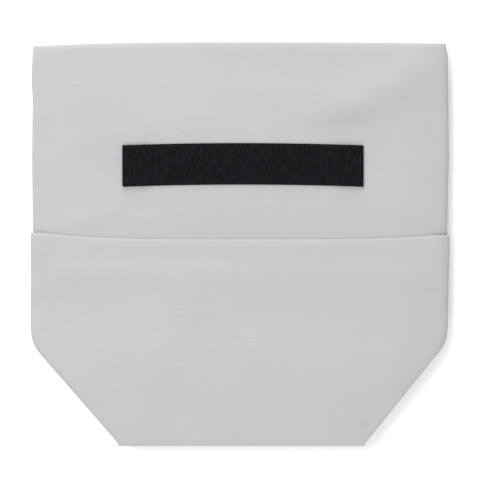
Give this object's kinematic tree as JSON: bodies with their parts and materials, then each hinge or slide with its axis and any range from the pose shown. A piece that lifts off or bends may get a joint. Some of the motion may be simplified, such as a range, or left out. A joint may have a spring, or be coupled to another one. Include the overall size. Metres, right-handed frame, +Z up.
{
  "type": "cooler bag",
  "caption": "Soft insulated lunch cooler bag folded flat on its back, with a front slip pocket, a folded-in base and a sewn webbing carry strap.",
  "frame": {"origin": "centre of the flat bag's outline, on the surface it lies on", "axes": "+X across the bag to the right as its front is seen, +Y from the folded bottom to the mouth, +Z up off the surface"},
  "size_m": [0.3016, 0.2909, 0.0182],
  "materials": {
    "panel_cloth": "light grey woven cloth, matt",
    "pocket_cloth": "light grey woven cloth, matt",
    "webbing": "black ribbed webbing, slight sheen"
  },
  "bodies": {
    "root": {"front_panel": "panel_cloth", "back_panel": "panel_cloth", "bottom_gusset": "panel_cloth", "front_pocket": "pocket_cloth", "carry_strap": "webbing"}
  },
  "joints": []
}
